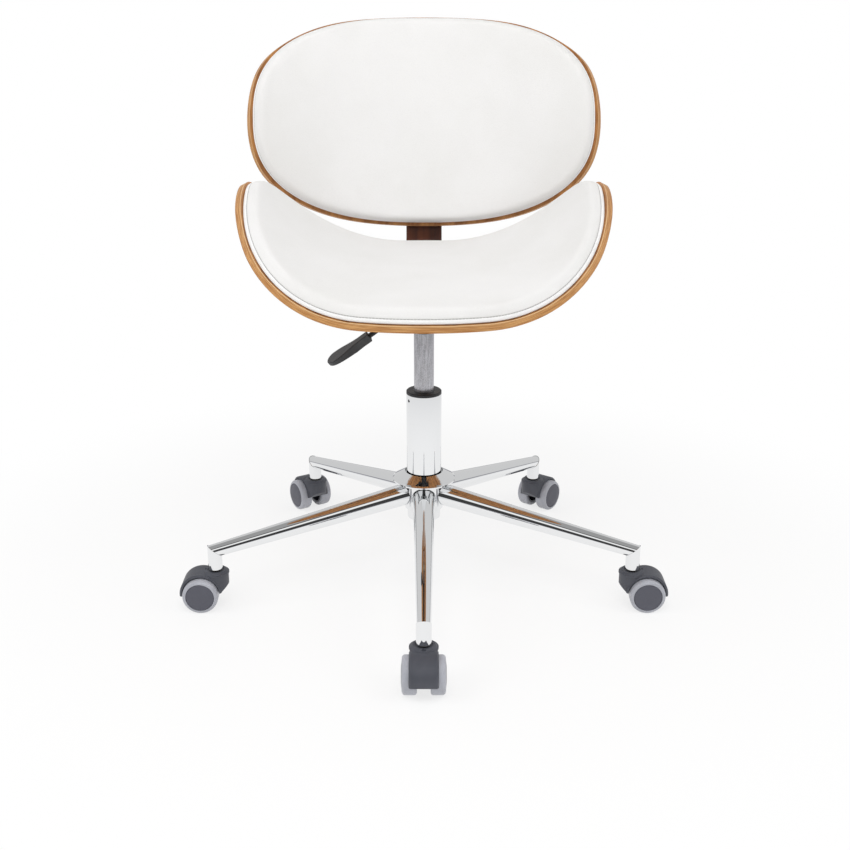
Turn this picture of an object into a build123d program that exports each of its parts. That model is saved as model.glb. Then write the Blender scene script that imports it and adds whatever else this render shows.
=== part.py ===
"""Swivel office chair: two bent-plywood shells with padded faces, joined by a bentwood spine,
on a gas lift, a five-arm tubular base and twin-wheel casters.

Millimetres, +Z up. The origin is on the floor under the column, and the sitter faces -Y."""

from build123d import *
import os
from math import asin, cos, copysign, hypot, pi, radians, sin, tan

# Clearances
RUNNING_FIT = 0.06      # radial play of shafts, pins and sliding tubes
SEAT_FIT = 0.04         # radial room of pressed and welded round pieces
SOFT_GAP = 0.3          # pads to the plywood under them
PLAY = 0.3              # end play between turning pieces
TOUCH = 0.01            # two heights this close are the same face

# Casters: twin wheels under a hood that turns on a stem
WHEEL_RADIUS = 25.0
WHEEL_INNER_FACE = 8.5
WHEEL_OUTER_FACE = 27.5
WHEEL_CAP_CROWN = 0.8
WHEEL_CAP_FLAT = 11.0
TYRE_THICKNESS = 5.0
TYRE_ROUND = 3.2
TYRE_SHOULDER = 4.6
HUB_RIM = 3.0
HUB_WEB = 3.5
HUB_EDGE = 1.0
HUB_BOSS_RADIUS = 7.5
AXLE_RADIUS = 4.0
AXLE_END_COVER = 4.0
CASTER_TRAIL = 20.0
HOOD_HALF_WIDTH = 18.5
HOOD_ROUND = 2.0
HOOD_WALL = 3.5
HOOD_WHEEL_GAP = 1.3
HOOD_VISOR_DROP = 5.0   # degrees below the axle
HOOD_WEB_GAP = 1.0
HOOD_BOSS_RADIUS = 17.8
HOOD_BOSS_RISE = 1.8
HOOD_BOSS_CHAMFER = 3.2
HOOD_CHIN_RISE = 11.0
HOOD_CHIN_SLOPE = 43.0
HOOD_DISH_RADIUS = 11.5
HOOD_DISH_DEPTH = 1.2
HOOD_LIP = 0.9
HOOD_LIP_HEIGHT = 2.2
HOOD_RECESS_RADIUS = 2.6
HOOD_RECESS_DEPTH = 1.5
HOOD_RECESS_TRAIL = 15.2
STEM_PIN_RADIUS = 5.0
STEM_PIN_DEPTH = 26.0
STEM_COLLAR_RADIUS = 8.0
STEM_COLLAR = 1.7
STEM_TOP_RADIUS = 5.5
STEM_TOP_LENGTH = 18.0
RING_GROOVE_DEPTH = 0.9
RING_WIDTH = 4.0
RING_FROM_TOP = 5.0
RING_SPLIT = 2.0

# Base: five tapered tubes welded to a hub
ARM_COUNT = 5
ARM_REACH = 308.0
ARM_RISE = 55.0
ARM_ROOT_DIAMETER = 32.0
ARM_TIP_DIAMETER = 19.0
ARM_WALL = 1.6
SOCKET_RADIUS = 10.0
SOCKET_DROP = 26.5      # from the arm's axis down to the socket's mouth
SLEEVE_RADIUS = 27.5
SLEEVE_BELOW = 27.0
SLEEVE_ABOVE = 20.0
COVER_RADIUS = 45.0
COVER_EYE_RADIUS = 27.4
COVER_CONE_RISE = 9.0
COVER_RIM = 4.0
COVER_RIM_CHAMFER = 2.0
COVER_WALL = 2.2
COVER_SKIRT_RADIUS = 31.6
COVER_SKIRT_LENGTH = 35.0
COVER_ARCH_ROOM = 1.2

# Column: outer tube, guide bush and the bearing at its foot
COLUMN_RADIUS = 25.0
COLUMN_WALL = 2.0
COLUMN_LENGTH = 188.0
COLUMN_FOOT_RADIUS = 23.8
COLUMN_PROUD = 15.0     # foot below the hub's sleeve
COLUMN_FLOOR = 4.0
COLUMN_STOP_HOLE = 2.4
COLUMN_STOP_DROP = 8.0
COLUMN_STOP_ANGLE = -149.0
BUSH_FLANGE = 4.5
BUSH_LENGTH = 96.0
BUSH_CHAMFER = 1.0
WASHER_RADIUS = 12.0
WASHER_THICKNESS = 2.0
BALL_RADIUS = 2.5
BALL_COUNT = 8
BALL_CIRCLE = 8.4
CAGE_THICKNESS = 2.0

# Gas spring
NECK_RADIUS = 4.0
ROD_RADIUS = 5.0
ROD_SHOULDER_RADIUS = 9.0
ROD_SHOULDER = 4.0
ROD_END = 4.0
CLIP_RADIUS = 8.0
CLIP_THICKNESS = 1.5
CLIP_GROOVE = 0.6
CLIP_MOUTH = 5.4
BUFFER_RADIUS = 11.0
BUFFER_HEIGHT = 8.0
CYLINDER_RADIUS = 14.0
CYLINDER_WALL = 2.0
CYLINDER_LENGTH = 250.0
CYLINDER_GUIDE = 10.0
CYLINDER_HEAD = 38.0
PISTON_HEIGHT = 12.0
LIFT_DOWN = 20.0
LIFT_UP = 80.0
LIFT_STOP = 2.0
TAPER_LENGTH = 16.0
TAPER_TOP_RADIUS = 13.5
VALVE_RADIUS = 3.0
VALVE_PROUD = 5.7
VALVE_INSIDE = 8.0
VALVE_TRAVEL = 4.0

# Seat plate and height lever
PLATE_THICKNESS = 3.0
PLATE_HALF_WIDTH = 42.0
PLATE_HALF_LENGTH = 88.0
PLATE_CORNER = 10.0
PLATE_FLANGE = 15.0
PLATE_HEIGHT = 47.5     # from the top of the gas spring to the plywood
POST_RADIUS = 19.0
POST_LIP = 2.0
BOLT_RADIUS = 4.0
BOLT_HEAD_FLATS = 13.0
BOLT_HEAD = 5.3
BOLT_BITE = 7.0
BOLT_X = 29.0
BOLT_Y = 72.0
LEVER_PIVOT_X = 28.0
LEVER_ROD_RADIUS = 3.5
LEVER_PIN_RADIUS = 4.0
LEVER_PIN_HALF = 13.5
LEVER_NOSE_RADIUS = 4.0
LEVER_NOSE_HALF = 5.0
LEVER_SLOPE = 36.4
LEVER_TO_GRIP = 60.0
LEVER_WINDOW_HALF = 6.0
LEVER_WINDOW_ROOM = 3.5
EAR_THICKNESS = 4.0
EAR_INNER = 9.0
EAR_RADIUS = 8.0
GRIP_LENGTH = 70.0
GRIP_ROOT_WIDTH = 13.0
GRIP_TIP_WIDTH = 27.0
GRIP_ROOT_HEIGHT = 12.0
GRIP_TIP_HEIGHT = 5.0
GRIP_NECK = 26.0        # length of the root before the paddle thins
GRIP_TOP = 6.0          # top face above the rod's axis
GRIP_ROLL = 13.0        # degrees that the top face leans forward
GRIP_ROUND = 1.5
GRIP_BORE_DEPTH = 22.0

# Seat shell and pad
PLY = 9.5
SEAT_HALF_WIDTH = 254.0
SEAT_FRONT = 283.0      # from the widest line forward
SEAT_REAR = 151.0       # from the widest line back
SEAT_WIDEST_Y = 26.0
SEAT_FRONT_FULLNESS = 2.1
SEAT_REAR_FULLNESS = 2.0
SEAT_PLAN_POINT_COUNT = 28
SEAT_FLAT = 45.0        # half-width of the flat middle at the widest line
SEAT_FLAT_TAPER = 0.123
SEAT_WING_SLOPE = 61.5  # degrees, at the widest line
SEAT_WING_SPAN = 82.0   # degrees of bend before the outline is cut
SEAT_WALL_TOP = 0.85    # height of the cutting walls as a share of the rear bend
SEAT_BEND_TAPER = 0.17
SEAT_PAD = 20.5
SEAT_PAD_INSET = 1.5
PAD_CROWN = 12.0
PAD_TUCK = 2.0

# Back shell and pad
BACK_HALF_WIDTH = 258.0
BACK_ABOVE = 161.8
BACK_BELOW = 146.6
BACK_FULLNESS = 2.54
BACK_PLAN_POINT_COUNT = 20
BACK_BEND = 501.0
BACK_LEAN = 14.0
BACK_SETBACK = 250.0
BACK_RAISE = 183.8      # middle of the back above the seat's underside
BACK_PAD = 18.0
BACK_PAD_INSET = 3.5

# Spine: bentwood strap from under the seat to behind the back
SPINE_WIDTH = 54.0
SPINE_THICKNESS = 14.0
SPINE_ROUND = 3.0
SPINE_BEND = 40.0
SPINE_START = 98.0
SPINE_TOP = 175.0       # length of the straight run behind the back
SCREW_RADIUS = 3.0
SCREW_HEAD_RADIUS = 6.0
SCREW_HEAD = 3.4
SCREW_HEAD_FLAT = 3.6
SCREW_HEAD_EDGE = 1.7
SCREW_BITE = 6.5
SCREW_X = 15.0
SCREW_SEAT_ROWS = (116.0, 156.0)
SCREW_BACK_ROWS = (75.0, 150.0)

CORNERS = ("front", "front_right", "rear_right", "rear_left", "front_left")
CASTER_HEADINGS = (-90.0, 0.0, 52.0, 123.0, 180.0)

# Heights that follow from the sizes above
WELL_RADIUS = WHEEL_RADIUS + HOOD_WHEEL_GAP
HOOD_RADIUS = WELL_RADIUS + HOOD_WALL
HOOD_TOP = WHEEL_RADIUS + HOOD_RADIUS + HOOD_BOSS_RISE
WEB_HALF = WHEEL_INNER_FACE - HOOD_WEB_GAP
SOCKET_Z = HOOD_TOP + PLAY + STEM_COLLAR
ARM_TIP_Z = SOCKET_Z + SOCKET_DROP
HUB_Z = ARM_TIP_Z + ARM_RISE
SLEEVE_BOTTOM = HUB_Z - SLEEVE_BELOW
SLEEVE_TOP = HUB_Z + SLEEVE_ABOVE
COLUMN_BOTTOM = SLEEVE_BOTTOM - COLUMN_PROUD
COLUMN_TOP = COLUMN_BOTTOM + COLUMN_LENGTH
WASHER_Z = COLUMN_BOTTOM + COLUMN_FLOOR
BALL_Z = WASHER_Z + WASHER_THICKNESS + BALL_RADIUS
UPPER_WASHER_Z = BALL_Z + BALL_RADIUS + RUNNING_FIT
SHOULDER_Z = UPPER_WASHER_Z + WASHER_THICKNESS
BUFFER_Z = SHOULDER_Z + ROD_SHOULDER
CYLINDER_Z = BUFFER_Z + BUFFER_HEIGHT + LIFT_DOWN + LIFT_STOP
CYLINDER_TOP = CYLINDER_Z + CYLINDER_LENGTH
PISTON_Z = CYLINDER_Z + CYLINDER_GUIDE + LIFT_UP + LIFT_STOP
VALVE_TOP = CYLINDER_TOP + VALVE_PROUD
LEVER_Z = VALVE_TOP + PLAY + LEVER_NOSE_RADIUS
SEAT_Z = CYLINDER_TOP + PLATE_HEIGHT
BACK_Z = SEAT_Z + BACK_RAISE
SEAT_BEND = (SEAT_HALF_WIDTH - SEAT_FLAT) / sin(radians(SEAT_WING_SLOPE))

UPRIGHT = (Align.CENTER, Align.CENTER, Align.MIN)
ALONG_Y = Rot(X=-90)


def rod(radius, bottom, top):
    """Upright round bar on the Z axis."""
    return Pos(0, 0, bottom) * Cylinder(radius, top - bottom, align=UPRIGHT)


def tube(outer, inner, bottom, top):
    """Upright ring on the Z axis."""
    return rod(outer, bottom, top) - rod(inner, bottom, top)


def turned(*points):
    """Solid of revolution about Z from a closed (radius, height) outline."""
    return revolve(Plane.XZ * make_face(Polyline(*points, close=True)), Axis.Z)


def bar(start, end, radius_start, radius_end):
    """Round bar, straight or tapered, between two points."""
    axis = Vector(*end) - Vector(*start)
    shape = (Cylinder(radius_start, axis.length, align=UPRIGHT) if radius_start == radius_end
             else Cone(radius_start, radius_end, axis.length, align=UPRIGHT))
    return Plane(origin=start, z_dir=axis) * shape


def egg_points(half_width, fore, aft, fore_fullness, aft_fullness, points):
    """Points round an egg: two half superellipses that meet on the X axis, from the fore end."""
    outline = []
    for step in range(points):
        angle = -pi / 2 + 2 * pi * step / points
        reach, fullness = (aft, aft_fullness) if sin(angle) > 0 else (fore, fore_fullness)
        x = half_width * copysign(abs(cos(angle)) ** (2 / fullness), cos(angle))
        y = reach * copysign(abs(sin(angle)) ** (2 / fullness), sin(angle))
        outline.append((x, y))
    return outline


def egg_prism(plan, slide, low, high):
    """Solid round an egg whose walls stand square to a bent shell, between two level planes.

    slide(point, z) gives where the wall through a point of the plan crosses the plane at z."""
    steps = [step / len(plan) for step in range(len(plan) + 1)]
    ends = []
    for z in (low, high):
        ring = [Vector(*slide(point, z), z) for point in plan]
        ends.append(make_face(Edge.make_spline(ring, periodic=True, parameters=steps)))
    return loft(ends, ruled=True)


def rim_edges(slab, height, level):
    """Edges round the broad side of a bent slab that lies at a level above the plywood's outside."""
    broad = [face for face in slab.faces()
             if all(abs(height(vertex.center()) - level) < TOUCH for vertex in face.vertices())]
    edges = [edge for face in broad for edge in face.edges()]
    return [edge for edge in edges if edges.count(edge) == 1]


def padded(layer, height, thickness, inset):
    """Cushion on bent plywood: a crowned edge towards the sitter, a tucked edge on the plywood."""
    low = PLY + SOFT_GAP
    high = low + thickness
    slab = layer(low, high, inset)
    crowned = fillet(rim_edges(slab, height, high), PAD_CROWN)
    return chamfer(rim_edges(crowned, height, low), PAD_TUCK)


def seat_bend(y):
    """Half-width of the flat middle and bend radius of the wings across the seat at a depth y."""
    forward = SEAT_WIDEST_Y - y
    return SEAT_FLAT + SEAT_FLAT_TAPER * forward, SEAT_BEND + SEAT_BEND_TAPER * forward


def seat_height(point):
    """Height of a point above the outside of the seat's plywood, square to it."""
    flat, bend = seat_bend(point.Y)
    return bend - hypot(max(0, abs(point.X) - flat), SEAT_Z + bend - point.Z)


def seat_section(y, low, high):
    """Band across the seat between two heights above its underside: a flat middle, two wings."""
    flat, bend = seat_bend(y)
    centre_z = SEAT_Z + bend

    def line(height):
        radius = bend - height
        level = centre_z - radius
        right = CenterArc((flat, centre_z), radius, -90, SEAT_WING_SPAN)
        left = CenterArc((-flat, centre_z), radius, -90, -SEAT_WING_SPAN)
        return right, left, Line((-flat, level), (flat, level))

    lower, upper = line(low), line(high)
    ends = tuple(Line(lower[side] @ 1, upper[side] @ 1) for side in (0, 1))
    across = Plane(origin=(0, y, 0), x_dir=(1, 0, 0), z_dir=(0, -1, 0))
    return across * make_face(lower + upper + ends)


def seat_layer(low, high, inset):
    """Bent layer of the seat between two heights above its underside, cut to the seat's plan."""
    ends = (SEAT_WIDEST_Y - SEAT_FRONT - PLY, SEAT_WIDEST_Y + SEAT_REAR + PLY)
    slab = loft([seat_section(y, low, high) for y in ends], ruled=True)
    plan = egg_points(SEAT_HALF_WIDTH - inset, SEAT_FRONT - inset, SEAT_REAR - inset,
                      SEAT_FRONT_FULLNESS, SEAT_REAR_FULLNESS, SEAT_PLAN_POINT_COUNT)

    def slide(point, z):
        x, y = point[0], point[1] + SEAT_WIDEST_Y
        flat, bend = seat_bend(y)
        lean = asin(max(0, abs(x) - flat) / bend)
        outward = (SEAT_Z + bend - z) * tan(lean) - bend * sin(lean)
        return copysign(abs(x) + outward, x), y

    rear_bend = seat_bend(SEAT_WIDEST_Y + SEAT_REAR)[1]
    return slab & egg_prism(plan, slide, SEAT_Z - PLY, SEAT_Z + SEAT_WALL_TOP * rear_bend)


def back_plane():
    """Plane on the middle of the back's rear face, with Y up the back and Z towards the sitter."""
    lean = radians(BACK_LEAN)
    return Plane(origin=(0, BACK_SETBACK, BACK_Z), x_dir=(1, 0, 0),
                 z_dir=(0, -cos(lean), sin(lean)))


def back_height(point):
    """Height of a point in front of the rear face of the back's plywood, square to it."""
    return BACK_BEND - hypot(point.X, BACK_BEND - point.Z)


def back_layer(low, high, inset):
    """Bent layer of the back between two heights in front of its rear face, cut to its outline."""
    length = 3 * (BACK_ABOVE + BACK_BELOW)
    drum = [Cylinder(BACK_BEND - height, length, rotation=(90, 0, 0)) for height in (low, high)]
    slab = Pos(0, 0, BACK_BEND) * (drum[0] - drum[1])
    plan = egg_points(BACK_HALF_WIDTH - inset, BACK_BELOW - inset, BACK_ABOVE - inset,
                      BACK_FULLNESS, BACK_FULLNESS, BACK_PLAN_POINT_COUNT)

    def slide(point, z):
        return (BACK_BEND - z) * tan(asin(point[0] / BACK_BEND)), point[1]

    rise = BACK_BEND - (BACK_BEND ** 2 - BACK_HALF_WIDTH ** 2) ** 0.5
    return slab & egg_prism(plan, slide, -PLY, rise + high + PLY)


def bolt(radius, length, head, head_height):
    """Bolt standing on its head at the origin, shank up."""
    return head + rod(radius, head_height, head_height + length)


def seat_bolt():
    """Hex bolt of the seat plate, with the plate's underside at z = 0."""
    head = extrude(RegularPolygon(BOLT_HEAD_FLATS / 2, 6, major_radius=False), BOLT_HEAD)
    return Pos(0, 0, -BOLT_HEAD) * bolt(BOLT_RADIUS, PLATE_THICKNESS + BOLT_BITE, head, BOLT_HEAD)


def spine_screw():
    """Round-headed screw of the spine, with the spine's outer face at z = 0."""
    head = turned((0, 0), (SCREW_HEAD_FLAT, 0), (SCREW_HEAD_RADIUS, SCREW_HEAD - SCREW_HEAD_EDGE),
                  (SCREW_HEAD_RADIUS, SCREW_HEAD), (0, SCREW_HEAD))
    return Pos(0, 0, -SCREW_HEAD) * bolt(SCREW_RADIUS, SPINE_THICKNESS + SCREW_BITE, head, SCREW_HEAD)


def seat_bolt_places():
    """Places of the seat plate's bolts, on the underside of the plate."""
    plate_z = SEAT_Z - PLATE_THICKNESS
    return [Pos(x, y, plate_z) for x in (-BOLT_X, BOLT_X) for y in (-BOLT_Y, BOLT_Y)]


def spine_line():
    """Middle of the strap in the YZ plane: the corner, where it leaves the bend, and its top."""
    lean = radians(BACK_LEAN)
    up = Vector(0, sin(lean), cos(lean))
    rearward = Vector(0, cos(lean), -sin(lean))
    middle = Vector(0, BACK_SETBACK, BACK_Z) + rearward * (SPINE_THICKNESS / 2 + SEAT_FIT)
    level = SEAT_Z - SPINE_THICKNESS / 2
    corner = middle - up * ((middle.Z - level) / up.Z)
    run = SPINE_BEND * tan(radians(90 - BACK_LEAN) / 2)
    return corner, run, up, rearward


def spine_screw_places():
    """Places of the spine's screws: under the seat, then behind the back."""
    corner, run, up, rearward = spine_line()
    sides = (-SCREW_X, SCREW_X)
    under_seat = [Pos(x, y, SEAT_Z - SPINE_THICKNESS) for y in SCREW_SEAT_ROWS for x in sides]
    behind_back = []
    for height in SCREW_BACK_ROWS:
        foot = corner + up * (run + height) + rearward * (SPINE_THICKNESS / 2)
        face = Plane(origin=foot, x_dir=(1, 0, 0), z_dir=rearward * -1)
        behind_back += [face.location * Pos(x, 0, 0) for x in sides]
    return under_seat, behind_back


def spine():
    """Bentwood strap: a level run under the seat, one bend and a straight run up the back."""
    corner, run, up, rearward = spine_line()
    half = SPINE_THICKNESS / 2
    turn = 90 - BACK_LEAN
    bend_start = corner.Y - run
    centre = (bend_start, corner.Z + SPINE_BEND)
    top = corner + up * (run + SPINE_TOP)

    def side(offset):
        radius = SPINE_BEND + offset
        level = Line((SPINE_START, corner.Z - offset), (bend_start, corner.Z - offset))
        arc = CenterArc(centre, radius, -90, turn)
        end = top + rearward * offset
        return [level, arc, Line(arc @ 1, (end.Y, end.Z))]

    outer = side(half)
    inner = side(-half)
    ends = [Line(outer[0] @ 0, inner[0] @ 0), Line(outer[2] @ 1, inner[2] @ 1)]
    strap = extrude(Plane.YZ * make_face(outer + inner + ends), SPINE_WIDTH / 2, both=True)
    strap = fillet(strap.edges().filter_by(Axis.X, reverse=True), SPINE_ROUND)
    under_seat, behind_back = spine_screw_places()
    for place in under_seat + behind_back:
        strap -= place * rod(SCREW_RADIUS + SEAT_FIT, 0, SPINE_THICKNESS)
    return strap


def seat_shell():
    """Bent plywood seat with blind holes for the plate's bolts and the spine's screws."""
    shell = seat_layer(0, PLY, 0)
    for place in seat_bolt_places():
        shell -= place * rod(BOLT_RADIUS + SEAT_FIT, PLATE_THICKNESS, PLATE_THICKNESS + BOLT_BITE + PLAY)
    under_seat, _ = spine_screw_places()
    for place in under_seat:
        shell -= place * rod(SCREW_RADIUS + SEAT_FIT, 0, SPINE_THICKNESS + SCREW_BITE + PLAY)
    return shell


def back_shell():
    """Bent plywood back with blind holes for the spine's screws."""
    shell = back_plane() * back_layer(0, PLY, 0)
    _, behind_back = spine_screw_places()
    for place in behind_back:
        shell -= place * rod(SCREW_RADIUS + SEAT_FIT, 0, SPINE_THICKNESS + SCREW_BITE + PLAY)
    return shell


def seat_plate():
    """Pressed plate under the seat with a welded post that holds the gas spring and the lever."""
    plate_z = SEAT_Z - PLATE_THICKNESS
    blank = RectangleRounded(2 * PLATE_HALF_WIDTH, 2 * PLATE_HALF_LENGTH, PLATE_CORNER)
    plate = Pos(0, 0, plate_z) * extrude(blank, PLATE_THICKNESS)
    for side in (-1, 1):
        flange = Box(PLATE_THICKNESS, 2 * (PLATE_HALF_LENGTH - PLATE_CORNER), PLATE_FLANGE,
                     align=(Align.CENTER, Align.CENTER, Align.MAX))
        plate += Pos(side * (PLATE_HALF_WIDTH - PLATE_THICKNESS / 2), 0, plate_z) * flange
    post_z = CYLINDER_TOP - TAPER_LENGTH - POST_LIP
    plate += rod(POST_RADIUS, post_z, plate_z)
    for side in (-1, 1):
        y = side * (EAR_INNER + EAR_THICKNESS / 2)
        knuckle = Pos(-LEVER_PIVOT_X, y, LEVER_Z) * ALONG_Y * Cylinder(EAR_RADIUS, EAR_THICKNESS)
        strap = Pos(-LEVER_PIVOT_X, y, LEVER_Z) * Box(
            2 * EAR_RADIUS, EAR_THICKNESS, plate_z - LEVER_Z, align=UPRIGHT)
        plate += knuckle + strap
    bore = CYLINDER_RADIUS + SEAT_FIT
    plate -= turned((0, post_z), (bore, post_z), (bore, post_z + POST_LIP),
                    (TAPER_TOP_RADIUS + SEAT_FIT, CYLINDER_TOP),
                    (TAPER_TOP_RADIUS + SEAT_FIT, plate_z), (0, plate_z))
    window = LEVER_ROD_RADIUS + LEVER_WINDOW_ROOM
    plate -= Pos(-LEVER_PIVOT_X / 2, 0, LEVER_Z) * Box(
        LEVER_PIVOT_X + EAR_RADIUS, 2 * LEVER_WINDOW_HALF, 2 * window)
    plate -= Pos(-LEVER_PIVOT_X, 0, LEVER_Z) * ALONG_Y * Cylinder(
        LEVER_PIN_RADIUS + RUNNING_FIT, 2 * (EAR_INNER + EAR_THICKNESS))
    for place in seat_bolt_places():
        plate -= place * rod(BOLT_RADIUS + SEAT_FIT, 0, PLATE_THICKNESS)
    return plate


def lever_points():
    """Lever in the XZ plane: its pivot, where the grip starts, and the direction outwards."""
    slope = radians(LEVER_SLOPE)
    pivot = Vector(-LEVER_PIVOT_X, 0, LEVER_Z)
    outward = Vector(-cos(slope), 0, -sin(slope))
    return pivot, pivot + outward * LEVER_TO_GRIP, outward


def lever_rod():
    """Bent rod with a cross pin at the pivot and a nose that presses the valve."""
    pivot, grip_start, outward = lever_points()
    nose = Vector(0, 0, LEVER_Z)
    rod_end = grip_start + outward * (GRIP_BORE_DEPTH - PLAY)
    lever = bar(pivot, nose, LEVER_ROD_RADIUS, LEVER_ROD_RADIUS)
    lever += bar(pivot, rod_end, LEVER_ROD_RADIUS, LEVER_ROD_RADIUS)
    lever += Pos(*nose) * ALONG_Y * Cylinder(LEVER_NOSE_RADIUS, 2 * LEVER_NOSE_HALF)
    lever += Pos(*pivot) * ALONG_Y * Cylinder(LEVER_PIN_RADIUS, 2 * LEVER_PIN_HALF)
    return lever


def lever_grip():
    """Paddle that widens and thins towards its round end, with a blind bore for the rod."""
    _, start, outward = lever_points()
    root = GRIP_ROOT_WIDTH / 2
    tip = GRIP_TIP_WIDTH / 2
    neck = GRIP_NECK / 2
    straight = GRIP_LENGTH - tip
    outline = make_face([
        Line((0, -root), (neck, -root)),
        Spline((neck, -root), (straight, -tip), tangents=((1, 0), (1, 0))),
        ThreePointArc((straight, -tip), (GRIP_LENGTH, 0), (straight, tip)),
        Spline((straight, tip), (neck, root), tangents=((-1, 0), (-1, 0))),
        Line((neck, root), (0, root)),
        Line((0, root), (0, -root)),
    ])
    root_low = GRIP_TOP - GRIP_ROOT_HEIGHT
    tip_low = GRIP_TOP - GRIP_TIP_HEIGHT
    flank = make_face(Polyline((0, GRIP_TOP), (GRIP_LENGTH, GRIP_TOP), (GRIP_LENGTH, tip_low),
                               (GRIP_NECK, root_low), (0, root_low), close=True))
    block = Pos(0, 0, root_low) * extrude(outline, GRIP_ROOT_HEIGHT)
    paddle = (block & extrude(Plane.XZ * flank, GRIP_TIP_WIDTH, both=True)).solid()
    paddle = fillet(paddle.edges().group_by(Axis.Z)[-1], GRIP_ROUND)
    paddle -= Rot(Y=90) * rod(LEVER_ROD_RADIUS + SEAT_FIT, 0, GRIP_BORE_DEPTH)
    face = Plane(origin=start, x_dir=outward, z_dir=Vector(0, 1, 0).cross(outward))
    return face * Rot(X=-GRIP_ROLL) * paddle


def column_radius(z):
    """Outer radius of the column, tapered inside the hub's sleeve."""
    share = min(1.0, (z - COLUMN_BOTTOM) / (SLEEVE_TOP - COLUMN_BOTTOM))
    return COLUMN_FOOT_RADIUS + share * (COLUMN_RADIUS - COLUMN_FOOT_RADIUS)


def column_tube():
    """Outer tube of the lift: tapered foot, closed floor and a small stop hole near the top."""
    inner = COLUMN_FOOT_RADIUS - COLUMN_WALL
    bore = COLUMN_RADIUS - COLUMN_WALL
    shape = turned((NECK_RADIUS + RUNNING_FIT, COLUMN_BOTTOM), (COLUMN_FOOT_RADIUS, COLUMN_BOTTOM),
                   (COLUMN_RADIUS, SLEEVE_TOP), (COLUMN_RADIUS, COLUMN_TOP), (bore, COLUMN_TOP),
                   (bore, SLEEVE_TOP), (inner, WASHER_Z), (NECK_RADIUS + RUNNING_FIT, WASHER_Z))
    hole = Rot(Y=90) * Cylinder(COLUMN_STOP_HOLE, COLUMN_RADIUS, align=UPRIGHT)
    return shape - Pos(0, 0, COLUMN_TOP - COLUMN_STOP_DROP) * Rot(Z=COLUMN_STOP_ANGLE) * hole


def column_bush():
    """Plastic guide: a flange on the tube's rim and a long sleeve that the gas spring slides in."""
    bore = CYLINDER_RADIUS + RUNNING_FIT
    sleeve = COLUMN_RADIUS - COLUMN_WALL - SEAT_FIT
    top = COLUMN_TOP + BUSH_FLANGE
    bottom = COLUMN_TOP - BUSH_LENGTH
    return turned((bore, bottom), (sleeve, bottom), (sleeve, COLUMN_TOP), (COLUMN_RADIUS, COLUMN_TOP),
                  (COLUMN_RADIUS, top - BUSH_CHAMFER), (COLUMN_RADIUS - BUSH_CHAMFER, top), (bore, top))


def ball_cage():
    """Balls of the thrust bearing and the flat cage between them."""
    places = [Pos(BALL_CIRCLE * cos(2 * pi * step / BALL_COUNT),
                  BALL_CIRCLE * sin(2 * pi * step / BALL_COUNT), BALL_Z) for step in range(BALL_COUNT)]
    cage = tube(WASHER_RADIUS, NECK_RADIUS + PLAY, BALL_Z - CAGE_THICKNESS / 2, BALL_Z + CAGE_THICKNESS / 2)
    for place in places:
        cage -= place * Cylinder(BALL_RADIUS + SEAT_FIT, 2 * CAGE_THICKNESS)
    return Compound([cage.solid()] + [(place * Sphere(BALL_RADIUS)).solid() for place in places])


def piston_rod():
    """Rod of the gas spring: a grooved neck through the column's floor, a shoulder and a piston."""
    clip_z = COLUMN_BOTTOM - RUNNING_FIT - CLIP_THICKNESS
    groove = NECK_RADIUS - CLIP_GROOVE
    piston = CYLINDER_RADIUS - CYLINDER_WALL - RUNNING_FIT
    top = PISTON_Z + PISTON_HEIGHT
    return turned((0, clip_z - ROD_END), (NECK_RADIUS, clip_z - ROD_END), (NECK_RADIUS, clip_z),
                  (groove, clip_z), (groove, COLUMN_BOTTOM - RUNNING_FIT),
                  (NECK_RADIUS, COLUMN_BOTTOM - RUNNING_FIT), (NECK_RADIUS, SHOULDER_Z),
                  (ROD_SHOULDER_RADIUS, SHOULDER_Z), (ROD_SHOULDER_RADIUS, BUFFER_Z),
                  (ROD_RADIUS, BUFFER_Z), (ROD_RADIUS, PISTON_Z), (piston, PISTON_Z), (piston, top), (0, top))


def rod_clip():
    """Spring clip in the neck's groove, under the column's floor."""
    top = COLUMN_BOTTOM - RUNNING_FIT
    ring = tube(CLIP_RADIUS, NECK_RADIUS - CLIP_GROOVE + SEAT_FIT, top - CLIP_THICKNESS, top)
    mouth = Box(2 * CLIP_RADIUS, CLIP_MOUTH, 4 * CLIP_THICKNESS,
                align=(Align.MIN, Align.CENTER, Align.CENTER))
    return ring - Pos(0, 0, top) * mouth


def gas_cylinder():
    """Pressure tube of the gas spring: rod guide below, tapered head with the valve above."""
    cavity = CYLINDER_RADIUS - CYLINDER_WALL
    guide = CYLINDER_Z + CYLINDER_GUIDE
    ceiling = CYLINDER_TOP - CYLINDER_HEAD
    valve_floor = CYLINDER_TOP - VALVE_INSIDE - VALVE_TRAVEL - LIFT_STOP
    rod_bore = ROD_RADIUS + RUNNING_FIT
    valve_bore = VALVE_RADIUS + RUNNING_FIT
    shape = turned((rod_bore, CYLINDER_Z), (CYLINDER_RADIUS, CYLINDER_Z),
                   (CYLINDER_RADIUS, CYLINDER_TOP - TAPER_LENGTH), (TAPER_TOP_RADIUS, CYLINDER_TOP),
                   (0, CYLINDER_TOP), (0, ceiling), (cavity, ceiling), (cavity, guide), (rod_bore, guide))
    return shape - rod(valve_bore, valve_floor, CYLINDER_TOP)


def arm_frame(corner):
    """Outward direction of one arm."""
    angle = radians(-90 + 360 / ARM_COUNT * corner)
    return Vector(cos(angle), sin(angle), 0)


def arm_tip(outward):
    """Point where the axes of one arm and its caster socket meet."""
    return outward * ARM_REACH + Vector(0, 0, ARM_TIP_Z)


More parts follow.
